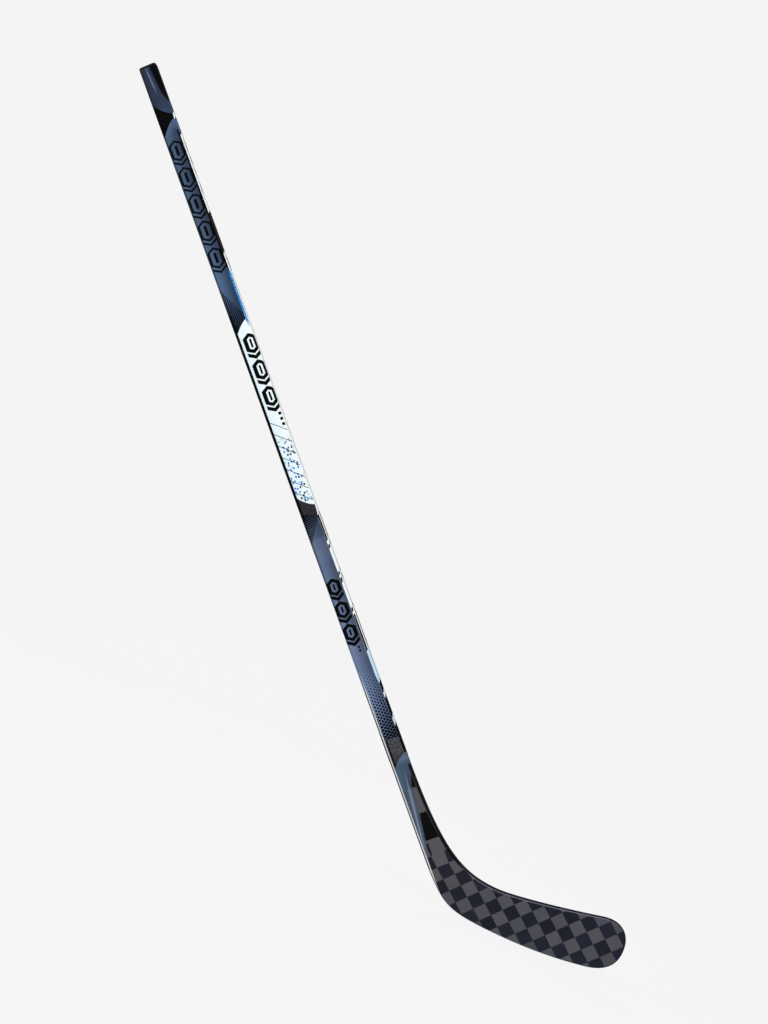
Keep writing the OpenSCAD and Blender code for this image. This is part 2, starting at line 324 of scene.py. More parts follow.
# %% Curves of the outline
FINE = 3                                   # points for each station of the measured model
SOLE_BACK, FLAT, TOE_X, TIP = 45.0, 8.0, 139.0, np.array([184.0, 62.0])
HEEL_S, THROAT_S, THROAT_LOW = 85.0, 236.0, np.array([-23.0, 63.0])
ROCKER = {-1: 400.0, 1: 580.0}
TOP_DIR = np.array([math.cos(math.radians(15)), math.sin(math.radians(15))])
HOSEL_N, STRAIGHT_N, BEND_N, SOLE_N, TOE_N = 2, 5, 7, 11, 9
THROAT_N = STRAIGHT_N + BEND_N
LAST = HOSEL_N + THROAT_N + SOLE_N + TOE_N


def sole_z(x):
    """Height of the sole: flat in the middle, rockered on both sides."""
    return max(0.0, abs(x) - FLAT) ** 2 / 2 / ROCKER[1 if x > 0 else -1]


def sole_dir(x):
    slope = np.array([1.0, (abs(x) - FLAT) / ROCKER[1 if x > 0 else -1] * (1 if x > 0 else -1)])
    return slope / np.linalg.norm(slope)


def bend(p, u, q, v, full_p, full_q, count):
    """count points of the curve from p along u to q along v, without its last point."""
    gap = q - p
    reach = (gap[0] * v[1] - gap[1] * v[0]) / (u[0] * v[1] - u[1] * v[0])
    corner = p + u * reach
    p1, q1 = p + full_p * (corner - p), q + full_q * (corner - q)
    t = np.arange(count)[:, None] / count
    r = 1 - t
    return list(r**3 * p + 3 * r**2 * t * p1 + 3 * r * t**2 * q1 + t**3 * q)


print("stations from the joint to the toe:", LAST)

# %% Points of the outline with their stations
SPARE = 20.0                               # the plate is drawn this much too long up the shaft
TOE_TALL = 79.0                            # height of the corner that the toe's curve rounds
sole_start, sole_end = [np.array([x, sole_z(x)]) for x in (-SOLE_BACK, TOE_X)]
toe_top = sole_end + (0, TOE_TALL)
hosel_s = [JOINT_S + SPARE] + [JOINT_S + (THROAT_S - JOINT_S) * k / (HOSEL_N * FINE)
                               for k in range(HOSEL_N * FINE)]
straight_s = [THROAT_S + (HEEL_S - THROAT_S) * k / (STRAIGHT_N * FINE)
              for k in range(STRAIGHT_N * FINE)]
station_x = np.interp(np.arange(SOLE_N * FINE) / FINE, [0, 1, 2, 3, SOLE_N],
                      [-SOLE_BACK, (-SOLE_BACK - FLAT) / 2, -FLAT, FLAT, TOE_X])
lower = ([on_shaft(s, 0) for s in hosel_s + straight_s]
         + bend(on_shaft(HEEL_S, 0), UP, sole_start, sole_dir(-SOLE_BACK), 0.85, 0.85,
                BEND_N * FINE)
         + [np.array([x, sole_z(x)]) for x in station_x]
         + bend(sole_end, sole_dir(TOE_X), TIP, (0, 1), 0.65, 0.7, TOE_N * FINE))
upper = ([on_shaft(s, SHAFT_W) for s in hosel_s]
         + bend(on_shaft(THROAT_S, SHAFT_W), UP, THROAT_LOW, (1, 0), 0.85, 0.72, THROAT_N * FINE)
         + bend(THROAT_LOW, np.array([1.0, 0.0]), toe_top, TOP_DIR, 0.55, 0.55, SOLE_N * FINE)
         + bend(toe_top, TOP_DIR, TIP, (0, 1), 0.6, 0.6, TOE_N * FINE))
stations = [-SPARE / 13] + [k / FINE for k in range(len(lower) - 1)]
outline = np.array(lower + [TIP] + upper[::-1])
outline_station = np.array(stations + [LAST] + stations[::-1])
print(len(outline), "points, toe tip at", outline.max(axis=0)[0], "mm")

# %% [markdown]
# ## The blade's thickness and curve
# The blade is as thick as the shaft at the joint, 12.5 mm at the heel and 6.5 mm at the toe, and
# its edges are rounded. Its middle surface bows toward the forehand and leans back a little at
# the toe. Both are rules about a place on the blade, so they can be painted as weights.

# %% Rules for thickness, edge and bow
HEEL_T, TOE_T, EDGE_R, EDGE_W = 12.5, 6.5, 2.6, 5.5
CURVE_R, CURVE_BACK, FACE_OPEN = 900.0, 40.0, math.tan(math.radians(4))
tangent = np.roll(outline, -1, axis=0) - np.roll(outline, 1, axis=0)
tangent[0], tangent[-1] = outline[1] - outline[0], outline[-1] - outline[-2]
inward = np.stack([-tangent[:, 1], tangent[:, 0]], axis=1)
inward /= np.linalg.norm(inward, axis=1)[:, None]
inner = outline + EDGE_W * inward


def thickness(station):
    """Half thickness and corner radius of the blade at a station, in millimetres."""
    t = np.clip((station - HOSEL_N) / THROAT_N, 0, 1)
    eased = t * t * (3 - 2 * t)
    along = max(0.0, (station - HOSEL_N - THROAT_N) / (LAST - HOSEL_N - THROAT_N))
    half = (SHAFT_T + (HEEL_T - SHAFT_T) * eased + (TOE_T - HEEL_T) * along) / 2
    return half, SHAFT_R + (EDGE_R - SHAFT_R) * eased


def bow(x, z):
    """Sideways place of the middle surface."""
    run = max(0.0, x + CURVE_BACK)
    return -run * run / 2 / CURVE_R + FACE_OPEN * run / (TIP[0] + CURVE_BACK) * (z - TIP[1])


def nearest(point):
    """Distance from the outline, the station there, and whether it is the upper edge."""
    start, run = outline[:-1], outline[1:] - outline[:-1]
    share = np.clip(((point - start) * run).sum(1) / (run * run).sum(1), 0, 1)
    gap = np.linalg.norm(start + share[:, None] * run - point, axis=1)
    k = int(gap.argmin())
    station = outline_station[k] + share[k] * (outline_station[k + 1] - outline_station[k])
    return gap[k], station, k >= len(lower)


def cross_station(point):
    """Station of the line from lower to upper bead that runs through a point of the face."""
    low, high = inner[: len(lower)], inner[::-1][: len(lower)]
    side = (high - low)[:, 0] * (point - low)[:, 1] - (high - low)[:, 1] * (point - low)[:, 0]
    change = np.where((side[:-1] <= 0) != (side[1:] <= 0))[0]
    if not len(change):
        return nearest(point)[1]
    k = int(change[0])
    share = side[k] / (side[k] - side[k + 1])
    return outline_station[k] + share * (outline_station[k + 1] - outline_station[k])


print("half thickness at joint, heel, toe:", [round(thickness(s)[0], 2) for s in (0, 14, LAST)])

# %% [markdown]
# ## Tracing and filling the plate
# The outline is traced like a pen line: one vertex, extruded from point to point and closed with
# a face. The face is inset in small steps, which gives loops that follow the edge for its
# rounding. The big face that is left is removed and the two long chains of its border are
# bridged, so that lines run across the blade from sole to top.

# %% Trace the outline
clear_selection()
bpy.ops.mesh.primitive_plane_add(size=1, location=(0, 0, 0))
blade = bpy.context.active_object
blade.name = blade.data.name = "woven_blade_skin"
bpy.ops.object.mode_set(mode="EDIT")
bpy.ops.mesh.select_mode(type="VERT")
bpy.ops.mesh.select_all(action="SELECT")
bpy.ops.mesh.merge(type="CENTER")
bpy.ops.mesh.select_all(action="SELECT")
bpy.ops.transform.translate(value=(outline[0][0] * MM, 0, outline[0][1] * MM))
for here, there in zip(outline, outline[1:]):
    move = (there - here) * MM
    bpy.ops.mesh.extrude_vertices_move(TRANSFORM_OT_translate={"value": (move[0], 0, move[1])})
pick(blade, "verts", lambda v: len(v.link_edges) < 2)
bpy.ops.mesh.edge_face_add()
bpy.ops.mesh.select_all(action="SELECT")
bpy.ops.mesh.edge_face_add()
print("outline traced with", len(bmesh.from_edit_mesh(blade.data).verts), "vertices")

# %% Loops along the edge
loops = [0.3, 0.45, 0.55, 0.65, 0.75, 0.9, 1.0, 0.9]
bpy.ops.mesh.select_mode(type="FACE")
bpy.ops.mesh.select_all(action="SELECT")
for width in loops:
    bpy.ops.mesh.inset(thickness=width * MM, use_even_offset=True)
bpy.ops.mesh.delete(type="ONLY_FACE")
print("edge loops", len(loops), "over", round(sum(loops), 2), "mm")

# %% Lines across the face
CUTS = 7
mesh = bmesh.from_edit_mesh(blade.data)
order = {}
for vert in mesh.verts:
    flat = np.array([vert.co.x, vert.co.z]) / MM
    if nearest(flat)[0] > EDGE_W - 0.2:
        order[vert.index] = int(np.linalg.norm(inner - flat, axis=1).argmin())
tip_number = len(lower)


def in_chain(edge):
    """True for an inner border edge that lies along the sole or along the top."""
    a, b = (order.get(v.index, tip_number) for v in edge.verts)
    return edge.is_boundary and (a - tip_number) * (b - tip_number) > 0


chained = pick(blade, "edges", in_chain)
bpy.ops.mesh.bridge_edge_loops(type="SINGLE", number_cuts=CUTS, interpolation="LINEAR")
print(chained, "border edges bridged with", CUTS, "cuts")

# %% Close the toe and cut off the spare length
toe_gap = pick(blade, "edges", lambda e: e.is_boundary and all(
    v.co.x > (TIP[0] - 15) * MM and nearest(np.array([v.co.x, v.co.z]) / MM)[0] > 1
    for v in e.verts))
bpy.ops.mesh.edge_face_add()
bpy.ops.mesh.select_all(action="SELECT")
cut = on_shaft(JOINT_S)
bpy.ops.mesh.bisect(plane_co=(cut[0] * MM, 0, cut[1] * MM), plane_no=tuple(axis),
                    clear_outer=True)
bpy.ops.object.mode_set(mode="OBJECT")
print("toe closed with", toe_gap, "edges;", len(blade.data.vertices), "vertices")

# %% [markdown]
# ## Raising, mirroring and bowing the blade
# A Displace modifier pushes every vertex along Y by its weight, which is the rounded half
# thickness there. The rim is then pulled to the middle plane, the half is mirrored, and a second
# Displace bows the whole blade. Weights keep both rules exact, where dragging by eye would not.

# %% Push vertices by painted weights
def push(piece, name, rule):
    """Moves each vertex along Y by rule(x, z) millimetres, as a weight times one strength."""
    places = [(v.co.x / MM, v.co.z / MM) for v in piece.data.vertices]
    moves = np.array([rule(x, z) for x, z in places])
    strength = moves[np.abs(moves).argmax()]
    group = piece.vertex_groups.new(name=name)
    for number, share in enumerate(np.clip(moves / strength, 0, 1)):
        group.add([number], float(share), "REPLACE")
    add_modifier(piece, "DISPLACE", direction="Y", mid_level=0, strength=strength * MM,
                 vertex_group=name)
    piece.vertex_groups.clear()
    return strength


def rounded_half(x, z):
    """Place of the forehand face: half the thickness, less what the rounded edge takes off."""
    point = np.array([x, z])
    gap, station, _ = nearest(point)
    if gap > EDGE_W - 0.1:
        return -thickness(cross_station(point))[0]
    half, radius = thickness(station)
    short = max(0.0, radius - gap)
    return -(half - radius + math.sqrt(radius**2 - short**2))


print("deepest push", round(push(blade, "thick", rounded_half), 2), "mm")


# %% Pull the rim to the middle and mirror
def on_cut(vert):
    """True for a vertex on the square cut at the joint."""
    return abs((np.array([vert.co.x, vert.co.z]) / MM - cut) @ UP) < 0.05


edit(blade)
pick(blade, "edges", lambda e: e.is_boundary and not all(on_cut(v) for v in e.verts))
bpy.ops.mesh.extrude_region_move()
bpy.ops.transform.resize(value=(1, 0, 1), center_override=(0, 0, 0))
bpy.ops.object.mode_set(mode="OBJECT")
add_modifier(blade, "MIRROR", use_axis=(False, True, False), use_mirror_merge=True,
             merge_threshold=CLOSE)
edit(blade)
cap_edges = pick(blade, "edges", lambda e: e.is_boundary)
bpy.ops.mesh.edge_face_add()
bpy.ops.mesh.select_all(action="SELECT")
bpy.ops.mesh.normals_make_consistent(inside=False)
open_edges = pick(blade, "edges", lambda e: not e.is_manifold)
bpy.ops.object.mode_set(mode="OBJECT")
print("joint face closed with", cap_edges, "edges,", open_edges, "open edges left")

# %% Bow the blade and note the distance from its edge
print("deepest bow", round(push(blade, "bow", bow), 2), "mm")
close(blade, 50)
rim_gap = blade.data.attributes.new("rim_gap", "FLOAT", "POINT")
upper_edge = blade.data.attributes.new("upper_edge", "FLOAT", "POINT")
for number, vert in enumerate(blade.data.vertices):
    gap, _, is_upper = nearest(np.array([vert.co.x, vert.co.z]) / MM)
    rim_gap.data[number].value = gap
    upper_edge.data[number].value = float(is_upper)
print(blade.name, triangles(blade), "triangles, box",
      [round(v, 4) for v in (*blade.bound_box[0], *blade.bound_box[6])])

# %% [markdown]
# ## Writing shader maths as Python
# Paint, weave and wear are all rules about a place on the object. To write such a rule as a plain
# expression, one small class stands for a socket: adding or multiplying two of them adds the Math
# node that does it. Everything else goes through its node method.

# %% One class for sockets
class Wire:
    """An output socket that can be used in a Python expression."""

    def __init__(self, tree, socket=None):
        self.tree, self.socket = tree, socket

    def node(self, kind, settings, values, out=0):
        """Adds a node, sets its settings, then its sockets, and returns one output."""
        made = self.tree.nodes.new("ShaderNode" + kind)
        for name, value in settings.items():
            if name == "stops":
                ramp = made.color_ramp.elements
                for _ in value[2:]:
                    ramp.new(0.5)
                for stop, (place, colour) in zip(ramp, value):
                    stop.position, stop.color = place, colour
            elif name == "blend":
                made.color_ramp.interpolation = value
            else:
                setattr(made, name, value)
        for name, value in values.items():
            if isinstance(value, Wire):
                self.tree.links.new(made.inputs[name], value.socket)
            else:
                made.inputs[name].default_value = value
        return Wire(self.tree, made.outputs[out])

    def other(self, out):
        """Another output of the same node."""
        return Wire(self.tree, self.socket.node.outputs[out])

    def math(self, operation, *values):
        return self.node("Math", {"operation": operation}, dict(enumerate((self, *values))))

    def __add__(self, value): return self.math("ADD", value)
    def __radd__(self, value): return self.math("ADD", value)
    def __sub__(self, value): return self.math("SUBTRACT", value)
    def __rsub__(self, value): return (self * -1).math("ADD", value)
    def __mul__(self, value): return self.math("MULTIPLY", value)
    def __rmul__(self, value): return self.math("MULTIPLY", value)
    def __truediv__(self, value): return self.math("DIVIDE", value)
    def __pow__(self, value): return self.math("POWER", value)
    def __abs__(self): return self.math("ABSOLUTE")
    def __and__(self, value): return self.math("MINIMUM", value)
    def __or__(self, value): return self.math("MAXIMUM", value)

    def past(self, edge, soft=0.3):
        """0 below the edge and 1 above it, over a soft width."""
        return self.node("MapRange", {}, {0: self - edge, 1: -soft / 2, 2: soft / 2})

    def below(self, edge, soft=0.3):
        return self.node("MapRange", {}, {0: self - edge, 1: soft / 2, 2: -soft / 2})

    def between(self, low, high, soft=0.3):
        """1 between two numbers."""
        return abs(self - (low + high) / 2).below((high - low) / 2, soft)

    def repeat(self, length):
        """Place within a pattern that repeats, from 0 to its length."""
        return self.math("FLOORED_MODULO", length)

    def noise(self, scale, detail=2.0, rough=0.5):
        """Soft noise from 0 to 1 at this vector."""
        return self.node("TexNoise", {}, {"Vector": self, "Scale": scale, "Detail": detail,
                                          "Roughness": rough})

    def ramp(self, stops, blend="LINEAR"):
        """Colour from stops of place and colour."""
        return self.node("ValToRGB", {"stops": stops, "blend": blend}, {0: self})

    def under(self, colour, mask):
        """This colour with another laid over it where the mask is 1."""
        return self.node("Mix", {"data_type": "RGBA"}, {0: mask, 6: self, 7: colour}, out=2)


def tone(code):
    """Linear colour of a screen colour code."""
    parts = [int(code[k:k + 2], 16) / 255 for k in (1, 3, 5)]
    return (*[p / 12.92 if p <= 0.04045 else ((p + 0.055) / 1.055) ** 2.4 for p in parts], 1.0)


print("slate paint is", [round(v, 3) for v in tone("#4a5f82")])

# %% [markdown]
# ## Places to paint by
# The paint is laid out in millimetres from the butt, across the wide face, and around the corner
# onto the toe-side narrow face. All three come from Object coordinates, so the paint stays put
# when the stick is seen from elsewhere.

# %% Material starter and painting places
def new_material(name, **constants):
    """An empty Principled material; constants are set on the shader's own sockets."""
    made = bpy.data.materials.new(name)
    made.use_nodes = True
    shader = made.node_tree.nodes["Principled BSDF"]
    for socket, value in constants.items():
        shader.inputs[socket.replace("_", " ")].default_value = value
    return made, Wire(made.node_tree), shader


def connect(shader, **wires):
    """Links wires to the shader's sockets."""
    for socket, wire in wires.items():
        wire.tree.links.new(shader.inputs[socket.replace("_", " ")], wire.socket)


def bumped(height, strength, distance):
    """Normal from a height in millimetres."""
    return height.node("Bump", {}, {"Strength": strength, "Distance": distance * MM,
                                    "Height": height})


class Places:
    """Millimetre measures of a point on the stick, as wires."""

    def __init__(self, start):
        self.object = start.node("TexCoord", {}, {}, out="Object")
        x = start.node("SeparateXYZ", {}, {0: self.object})
        y, z = x.other(1), x.other(2)
        self.x, self.y, self.z = x / MM, y / MM, z / MM
        self.butt = STICK_LEN - (self.x - HEEL[0]) * UP[0] - (self.z - HEEL[1]) * UP[1]
        self.across = (self.x - HEEL[0]) * ACROSS[0] + (self.z - HEEL[1]) * ACROSS[1]
        self.side = self.across - abs(self.y) - (SHAFT_W - SHAFT_T / 2)
        self.girth = self.across + (self.side | 0.0)
        self.round = ((SHAFT_W - self.across) & SHAFT_W | 0.0) / SHAFT_W
        self.swoop = self.round ** 1.6


print("places: butt, across, side, girth, swoop")

# %% [markdown]
# ## Marks in the paint
# The shaft carries bold generic marks: links with pointed ends, each followed by a chevron. A
# link is the band between two sizes of one pointed distance, so a single rule draws it at any
# place along the shaft. The marks stand for decoration only and spell nothing.

# %% A link and a chevron that repeat
TAPER, CRISP = 0.62, 0.35                  # slope of the pointed ends, softness of the edges


def links(places, start, count, pitch, length, middle, height, stroke, core, line="across"):
    """Mask of count links with pointed ends, each with a chevron after it."""
    tall = abs(getattr(places, line) - middle)
    along = places.butt - start
    cell = along.repeat(pitch)
    half = length / 2
    box = (abs(cell - half) + tall * TAPER - half) | (tall - height / 2)
    ring = abs(box + stroke / 2).below(stroke / 2, CRISP)
    inside = box.below(-core, CRISP)
    chevron = abs(cell + tall * TAPER - (length + pitch) / 2 - 1).below(stroke / 2, CRISP)
    mark = ring | inside | chevron * tall.below(height / 2, CRISP)
    return mark * along.between(0, pitch * count)


print("link ends taper by", TAPER)


# %% Rows of squares, fine hatching, halftone dots and mosaic specks
def squares(places, run, pitch, size, rows):
    """A short row of small squares, within a run of the shaft and a band across it."""
    row = (places.butt - run[0]).repeat(pitch).below(size)
    return row * places.butt.between(*run) * places.across.between(*rows)


def hatching(places, slope, pitch, fill):
    """Slanted lines that take up a share of the surface."""
    place = (places.butt + places.across * slope).repeat(pitch)
    return (fill * (pitch / 2) - abs(place - pitch / 2)).past(0, 0.5)


def halftone(places, start, end):
    """Staggered dots that grow from start to end."""
    step, rise, least, growth = 5.4, 0.66, 0.25, 2.5
    one = (places.butt + places.across * rise).repeat(step) - step / 2
    two = (places.butt - places.across * rise).repeat(step) - step / 2
    along, across = (one + two) / 2, (one - two) / (2 * rise)
    gap = (along * along + across * across) ** 0.5
    radius = (places.butt - start) * (growth / (end - start)) + least
    return (radius - gap).past(0, 0.5) * places.butt.between(start, end, 1.0)


def mosaic(places, start, end):
    """Rounded specks of colour between slanted lines: their colour and their mask."""
    pitch_along, pitch_across = 5.6, 4.4
    spot = places.butt.node("CombineXYZ", {}, {0: places.butt / pitch_along,
                                               1: places.across / pitch_across})
    cell = spot.node("TexVoronoi", {"voronoi_dimensions": "2D"}, {"Vector": spot, "Scale": 1.0})
    hue = cell.node("SeparateColor", {}, {0: cell.other("Color")})
    tint = hue.ramp([(0, tone("#4b2f26")), (0.22, tone("#2f7fcf")), (0.5, tone("#17191f")),
                     (0.68, tone("#8ccdf0")), (0.85, tone("#2f7fcf"))], "CONSTANT")
    size = cell.below(0.36, 0.08) * hue.other(1).past(0.42, 0.02)
    return tint, size * places.butt.between(start, end, 14)


print("marks ready")

# %% [markdown]
# ## The painted artwork
# A real shaft is sprayed and decorated in layers under one clear coat, and the rule below lays
# the same layers one over another: slate blues first, then black and pale zones with swooping
# ends, then the marks, and last the band along the toe-side narrow face. The slates fade from
# row to row, and two rows close together are a hard edge, as where a stencil ended.

# %% Colours along the shaft, by millimetres from the butt
BLACK = tone("#060608")
HEEL_SLATES = [(0, "#232b3d"), (78, "#262f45"), (100, "#5d6f8e"), (118, "#556783"),
               (134, "#40556f"), (300, "#43566f"), (390, "#4a6482"), (440, "#45587a"),
               (780, "#3d4a62"), (844, "#4c5b77"), (846, "#5d6a85"), (879, "#627294"),
               (881, "#5a6a88"), (900, "#5a6f8d"), (1030, "#687999"), (1062, "#627595"),
               (1100, "#6b7fa2"), (1185, "#6b7fa2"), (1207, "#515a6b"), (1217, "#5b6a84"),
               (1219, "#43586b"), (1264, "#475b72")]
TOE_SLATES = [(0, "#26314a"), (72, "#2b364b"), (92, "#303c53"), (100, "#4a5878"),
              (112, "#455474"), (126, "#2b394d"), (300, "#29354a"), (390, "#30405a"),
              (440, "#28364c"), (780, "#28364a"), (843, "#38475f"), (845, "#4c566f"),
              (879, "#4c5a70"), (881, "#40506a"), (905, "#3e4c60"), (1035, "#495470"),
              (1064, "#42506b"), (1100, "#4c5c7a"), (1185, "#465470"), (1212, "#57647d"),
              (1217, "#5a6a85"), (1219, "#40566a"), (1264, "#293748")]


def stops(rows):
    """Ramp stops over the whole stick from places and colour codes."""
    return [(place / STICK_LEN, tone(code)) for place, code in rows]


def slate(places):
    """The sprayed slate blue, darker toward the toe side."""
    share = places.butt / STICK_LEN
    return share.ramp(stops(HEEL_SLATES)).under(share.ramp(stops(TOE_SLATES)),
                                                places.across.past(14, 16))


print(len(HEEL_SLATES), "slates along the heel side,", len(TOE_SLATES), "along the toe side")

# %% Paint near the butt
# painted highlight: a pale streak below the cap stands for light on the clear coat
STREAK_AT, STREAK_LEAN, STREAK_RUN = 11.4, 0.07, (6, 46)   # highlight below the cap
# painted shade: the rounded heel-side corner is darkened as if turned away from the light
SHADE_W, SHADE_END = 3.6, 1000                             # dark edge on the heel side
WEDGE_AT, WEDGE_BEND, WEDGE_END = 17.6, 55, 88             # black wedge on the toe side
COLLAR, COLLAR_SWOOPS = (94.5, 103), (27.5, 31)            # black collar with swept ends
BUTT_LINKS = {"start": 139, "count": 5, "pitch": 48.6, "length": 38, "middle": 14.6,
              "height": 24, "stroke": 4.0, "core": 9.6}


def butt_paint(coat, places):
    """Pearl, painted highlight, painted shade, wedge, collar and links on the part near the butt.
    """
    butt, across, swoop = places.butt, places.across, places.swoop
    pearl = places.object.noise(2600, 1.0).past(0.66, 0.1)
    # painted highlight: a pale streak below the cap, not paint of the stick
    painted_highlight = abs(across - STREAK_AT - butt * STREAK_LEAN).below(0, 4)
    shade = across.below(SHADE_W, 3.0) * butt.below(SHADE_END, 90)
    wedge = places.girth - WEDGE_AT - butt * 0.09 - (butt - WEDGE_BEND | 0.0) * 0.3
    collar = ((butt + swoop * COLLAR_SWOOPS[0]).past(COLLAR[0])
              * (butt - swoop * COLLAR_SWOOPS[1]).below(COLLAR[1]))
    coat = coat.under(tone("#8fa0bb"), pearl * 0.12)
    coat = coat.under(tone("#a9b7cc"), painted_highlight * butt.between(*STREAK_RUN, 20) * 0.6)
    # painted shade along the rounded heel-side corner
    coat = coat.under(tone("#15161a"), shade * 0.6)
    coat = coat.under(BLACK, wedge.past(0, 3.0) * butt.below(WEDGE_END))
    coat = coat.under(BLACK, collar)
    return coat.under(BLACK, links(places, **BUTT_LINKS))


print("collar", COLLAR[1] - COLLAR[0], "mm wide,", BUTT_LINKS["count"], "links after it")

# %% Paint around the pale section
PALE_RUN, PALE_SWOOPS = (465, 790), (27, 24)
LIP_END, FAN_START, FAN_END = 799, 401, 854                # brown lip, and hatched fans
RULES_FROM, RULES_PITCH, SPECKS_RUN = 636, 20.2, (676, 800)
KEEL_W, KEEL_RUN = 5.4, (452, 812)                         # black edge on the heel side
PALE_LINKS = {"start": 489, "count": 3, "pitch": 46.4, "length": 36, "middle": 21.2,
              "height": 23.4, "stroke": 6.8, "core": 9.9, "line": "girth"}


def pale_paint(coat, places):
    """Hatched fans, brown lip, and the pale section with its rules, specks and links."""
    butt, across = places.butt, places.across
    start, end = butt - places.swoop * PALE_SWOOPS[0], butt + places.swoop * PALE_SWOOPS[1]
    pale = start.past(PALE_RUN[0]) * end.below(PALE_RUN[1])
    split = butt - across * 0.25
    lip = end.past(PALE_RUN[1]) * split.below(LIP_END)
    fan = butt - across * 2.1 - FAN_START
    before = hatching(places, 1.35, 5.0, fan / 130 + 0.5) * fan.past(0)
    fan = FAN_END - butt - across * 1.6
    after = hatching(places, -1.0, 5.0, fan / 90 + 0.5) * fan.past(0)
    slant = butt - across * 0.9 - RULES_FROM
    half = RULES_PITCH / 2
    rules = abs(slant.repeat(RULES_PITCH) - half).past(half - 0.7) * slant.past(-5)
    tint, specks = mosaic(places, *SPECKS_RUN)
    coat = coat.under(BLACK, before * start.below(PALE_RUN[0]))
    coat = coat.under(tone("#3d393e"), lip)
    coat = coat.under(BLACK, lip * hatching(places, -1.0, 4.4, 0.4))
    coat = coat.under(BLACK, after * split.past(LIP_END))
    coat = coat.under((across / SHAFT_W).ramp([(0, tone("#d3e6f2")), (0.6, tone("#e2eff3")),
                                               (1, tone("#eaf2f5"))]), pale)
    coat = coat.under(tint, specks * pale)
    coat = coat.under(tone("#1b2026"), rules * pale)
    coat = coat.under(BLACK, links(places, **PALE_LINKS))
    coat = coat.under(BLACK, squares(places, (629, 655), 9.3, 5, (23.5, 28.2)))
    return coat.under(BLACK, across.below(KEEL_W) * butt.between(*KEEL_RUN, 8))


print("pale section", PALE_RUN[1] - PALE_RUN[0], "mm long")

# %% Paint near the joint, and the whole wide face
DOTS_RUN = (1045, 1186)
LOW_LINKS = {"start": 911, "count": 3, "pitch": 38.0, "length": 30, "middle": 12.4,
             "height": 22.5, "stroke": 6.2, "core": 9.6}


def wide_face(places):
    """Colour of the paint on the wide faces."""
    coat = pale_paint(butt_paint(slate(places), places), places)
    coat = coat.under(BLACK, squares(places, (1026, 1036), 6, 4, (15.4, 18.6)))
    coat = coat.under(BLACK, links(places, **LOW_LINKS))
    return coat.under(BLACK, halftone(places, *DOTS_RUN))


print("halftone", DOTS_RUN[1] - DOTS_RUN[0], "mm long")

# %% Colours of the band on the toe-side narrow face
TOE_UPPER = [(0, "#08090c"), (70.5, "#34445f"), (94.5, "#eef3f5"), (104.5, "#4d6389"),
             (130, "#060608"), (133, "#eef3f5"), (276, "#2a2325"), (350, "#eef3f5")]
TOE_LOWER = [(1000, "#eef3f5"), (1037, "#bcdcee"), (1091, "#060608"), (1109, "#eef3f5"),
             (1117, "#060608"), (1150, "#e4eaee"), (1163, "#060608"), (1207, "#3d5273"),
             (1231, "#060608")]
SIDE_LINES = [(807, 851.5), (857.5, 863.5), (903.5, 909.5), (914, 922), (964.5, 971),
              (976, 1037)]
SIDE_DASHES = [(145, 168), (173, 193), (199, 208), (225, 244), (357, 384)]


def steps(place, rows, low, high):
    """Colour that changes at once at each row, for places from low to high."""
    span = high - low
    return ((place - low) / span).ramp([((at - low) / span, tone(code)) for at, code in rows],
                                       "CONSTANT")


def stretches(place, rows):
    """1 within each stretch of places and 0 between them."""
    found = place.between(*rows[0])
    for row in rows[1:]:
        found = found | place.between(*row)
    return found


print(len(TOE_UPPER + TOE_LOWER), "colours and", len(SIDE_LINES + SIDE_DASHES), "lines")

# %% Band along the toe-side narrow face
BAND_SPLIT = 1000                          # the two lists of colours meet here
STRIPE_RUN, FLASH_RUN = (124, 459), (380, 474)
WIDER_RUN, WIDER_BY = (806, 1088), 3.2     # here the band reaches onto the wide face


def whole_shaft(places):
    """Colour of the paint all round the shaft."""
    butt, side, y = places.butt, places.side, places.y
    turned = butt + side * 0.8
    band = steps(turned, TOE_UPPER, 0, 400).under(steps(turned, TOE_LOWER, BAND_SPLIT, 1250),
                                                  turned.past(BAND_SPLIT))
    lines = stretches(turned, SIDE_LINES) * (side.between(-3, 1.4) | y.between(-2.5, 9.9))
    dashes = stretches(turned, SIDE_DASHES) * y.between(-0.5, 9.9)
    band = band.under(BLACK, lines | dashes).under(BLACK, links(places, **PALE_LINKS))
    edge = places.object.noise(420, 3.0, 0.7)
    flash = (side - edge * 5).between(-6.2, -0.6, 0.6) * butt.between(*FLASH_RUN, 12)
    blue = edge.ramp([(0.34, tone("#0b1a30")), (0.41, tone("#1158ac")), (0.5, tone("#1c84cc")),
                      (0.66, tone("#8fd3f0"))])
    stripe = side.between(-4.2, 0.6) * (butt.past(STRIPE_RUN[0]) * butt.below(STRIPE_RUN[1]))
    reach = butt.between(*WIDER_RUN, 14) * WIDER_BY
    coat = wide_face(places).under(BLACK, stripe)
    return coat.under(band, (side + reach).past(0)).under(blue, flash)


print("blue flash", FLASH_RUN[1] - FLASH_RUN[0], "mm long")

# %% Paint on the wrap, and the corner line: part pinstripe, part painted highlight
RESIN_START, RESIN_END, RESIN_SWOOP = 1180, 1207, 26
# the pale corner line is partly a pinstripe and partly a painted highlight
CORNER_LINE, CORNER_LINE_RUN = (2.3, 4.5), (1085, 1415)


def band_tone(places):
    """Colour of the wrap: grey-brown resin with light specks, ending in a swoop."""
    grain = places.object.noise(700, 1.0, 0.6)
    specks = grain.past(0.56, 0.06) * places.butt.below(RESIN_END + 1, 16)
    resin = grain.ramp([(0.3, tone("#2c2a2e")), (0.5, tone("#363439"))])
    resin = resin.under(tone("#6f7078"), specks * 0.7)
    bar = places.across.between(5.4, 8.2) * places.butt.past(RESIN_START + 2)
    return resin.under(BLACK, bar).under(BLACK, places.side.past(-1.5, 0.5))


